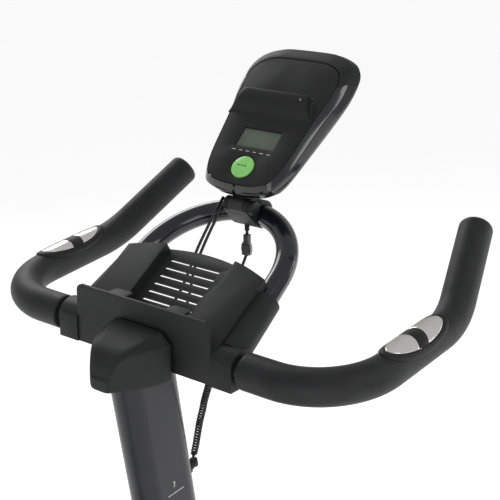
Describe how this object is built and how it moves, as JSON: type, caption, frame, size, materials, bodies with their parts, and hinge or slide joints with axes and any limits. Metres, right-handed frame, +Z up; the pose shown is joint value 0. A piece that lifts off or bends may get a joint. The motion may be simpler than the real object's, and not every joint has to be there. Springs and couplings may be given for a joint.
{
  "type": "exercise bike",
  "caption": "Indoor cycle with a belt-driven flywheel, padded bullhorn handlebar with pulse plates, slotted device tray and tilting console on a tubular loop.",
  "frame": {"origin": "on the floor under the middle of the bike's bounding box", "axes": "+X forward towards the front stabilizer, +Y to the rider's left, +Z up"},
  "size_m": [1.0199, 0.5238, 1.2746],
  "materials": {
    "frame_paint": "satin black powder coat",
    "post_paint": "satin charcoal coat",
    "loop_paint": "gloss blue-black coat",
    "grip_foam": "closed-cell foam, soft sheen",
    "black_plastic": "fine-grained matt",
    "gloss_trim": "polished black",
    "grey_plastic": "matt dark grey",
    "steel_parts": "satin machined steel",
    "sensor_plate": "polished",
    "flywheel_iron": "painted casting with a machined rim",
    "alloy_rail": "anodised dark grey",
    "belt_rubber": "moulded ribbed rubber",
    "rubber_black": "moulded matt rubber",
    "cord_jacket": "soft plastic jacket",
    "brake_felt": "pressed felt",
    "saddle_cover": "soft embossed vinyl",
    "display": "unlit grey-green display",
    "button_green": "satin green",
    "circuit": "solder-masked board"
  },
  "bodies": {
    "frame": {"front_stabilizer": "frame_paint", "rear_stabilizer": "frame_paint", "foot_caps": "rubber_black", "rear_beam": "frame_paint", "down_tube": "frame_paint", "seat_tube": "frame_paint", "head_tube": "frame_paint", "fork_blades": "frame_paint", "post_bushings": "black_plastic", "frame_fasteners": "steel_parts", "belt_cover": "black_plastic", "belt_cover_back": "black_plastic", "drive_belt": "belt_rubber", "bearings": "steel_parts"},
    "wheel_left": {"transport_wheel_left": "rubber_black"},
    "wheel_right": {"transport_wheel_right": "rubber_black"},
    "flywheel_set": {"flywheel": "flywheel_iron", "flywheel_axle": "steel_parts", "flywheel_pulley": "steel_parts"},
    "crank_set": {"crank_axle": "steel_parts", "crank_pulley": "grey_plastic", "crank_arms": "alloy_rail", "pedal_spindles": "steel_parts"},
    "right_pedal": {"pedal_right": "black_plastic"},
    "left_pedal": {"pedal_left": "black_plastic"},
    "brake_slider": {"brake_collar": "steel_parts"},
    "brake_screw": {"brake_rod": "steel_parts", "resistance_knob": "black_plastic"},
    "brake_shoe": {"brake_carrier": "frame_paint", "brake_pad": "brake_felt"},
    "seat_column": {"seat_post": "post_paint", "seat_rail": "alloy_rail"},
    "saddle": {"saddle_slider": "frame_paint", "saddle_base": "black_plastic", "saddle_pad": "saddle_cover"},
    "saddle_clamp": {"saddle_knob": "black_plastic"},
    "seat_pin": {"seat_post_knob": "black_plastic"},
    "handlebar_pin": {"handlebar_post_knob": "black_plastic"},
    "handlebar": {"handlebar_post": "post_paint", "handlebar_bracket": "frame_paint", "handlebar_tube": "frame_paint", "loop_tube": "loop_paint", "grip_left": "grip_foam", "grip_right": "grip_foam", "pulse_bezels": "black_plastic", "pulse_plates": "sensor_plate", "tray": "black_plastic", "post_cover": "black_plastic", "cord_boot": "rubber_black", "curly_cord": "cord_jacket", "console_bracket": "black_plastic", "console_leads": "cord_jacket", "lead_connector": "rubber_black"},
    "console": {"console_back": "grey_plastic", "console_front": "black_plastic", "console_trims": "gloss_trim", "console_face": "black_plastic", "lcd_screen": "display", "console_board": "circuit"},
    "button": {"mode_button": "button_green"}
  },
  "joints": [
    {"name": "handlebar_height", "type": "slide", "parent": "frame", "child": "handlebar", "axis": [-0.1702, 0, 0.9854], "range_m": [-0.04, 0.1]},
    {"name": "handlebar_pin_pull", "type": "slide", "parent": "frame", "child": "handlebar_pin", "axis": [0.9854, 0, 0.1702], "range_m": [0, 0.01], "stiffness_N_per_m": 1500, "springref_m": -0.006},
    {"name": "console_tilt", "type": "hinge", "parent": "handlebar", "child": "console", "pos_m": [0.3385, 0, 1.12103], "axis": [0, 1, 0], "range_deg": [-12, 15], "deforming": ["console_leads"]},
    {"name": "button_press", "type": "slide", "parent": "console", "child": "button", "axis": [0.6845, 0, -0.729], "range_m": [0, 0.0012], "stiffness_N_per_m": 800, "springref_m": -0.001},
    {"name": "seat_height", "type": "slide", "parent": "frame", "child": "seat_column", "axis": [-0.3387, 0, 0.9409], "range_m": [-0.06, 0.12]},
    {"name": "seat_pin_pull", "type": "slide", "parent": "frame", "child": "seat_pin", "axis": [-0.9409, 0, -0.3387], "range_m": [0, 0.01], "stiffness_N_per_m": 1500, "springref_m": -0.006},
    {"name": "saddle_fore_aft", "type": "slide", "parent": "seat_column", "child": "saddle", "axis": [1, 0, 0], "range_m": [-0.04, 0.04]},
    {"name": "saddle_knob_turn", "type": "hinge", "parent": "saddle", "child": "saddle_clamp", "pos_m": [-0.32721, -0.045, 0.79], "axis": [0, 1, 0], "range_deg": [0, 360]},
    {"name": "flywheel_spin", "type": "hinge", "parent": "frame", "child": "flywheel_set", "pos_m": [0.298, 0, 0.265], "axis": [0, 1, 0], "continuous": true},
    {"name": "crank_spin", "type": "hinge", "parent": "frame", "child": "crank_set", "pos_m": [-0.132, 0, 0.33], "axis": [0, 1, 0], "continuous": true},
    {"name": "pedal_right_spin", "type": "hinge", "parent": "crank_set", "child": "right_pedal", "pos_m": [0.00726, -0.16, 0.23249], "axis": [0, 1, 0], "continuous": true},
    {"name": "pedal_left_spin", "type": "hinge", "parent": "crank_set", "child": "left_pedal", "pos_m": [-0.27126, 0.16, 0.42751], "axis": [0, 1, 0], "continuous": true},
    {"name": "brake_push", "type": "slide", "parent": "frame", "child": "brake_slider", "axis": [0.6022, 0, -0.7983], "range_m": [0, 0.006], "stiffness_N_per_m": 3000, "springref_m": -0.008},
    {"name": "resistance_turn", "type": "hinge", "parent": "brake_slider", "child": "brake_screw", "pos_m": [0.06915, 0, 0.56836], "axis": [0.6022, 0, -0.7983], "range_deg": [0, 1080]},
    {"name": "brake_lower", "type": "slide", "parent": "brake_slider", "child": "brake_shoe", "axis": [0.6022, 0, -0.7983], "range_m": [0, 0.0045]},
    {"name": "wheel_left_spin", "type": "hinge", "parent": "frame", "child": "wheel_left", "pos_m": [0.484, 0.15, 0.034], "axis": [0, 1, 0], "continuous": true},
    {"name": "wheel_right_spin", "type": "hinge", "parent": "frame", "child": "wheel_right", "pos_m": [0.484, -0.15, 0.034], "axis": [0, 1, 0], "continuous": true}
  ],
  "couplings": [
    {"joint": "crank_spin", "follows": "flywheel_spin", "ratio": 0.33333},
    {"joint": "resistance_turn", "follows": "brake_lower", "rad_per_m": 4188.8}
  ]
}
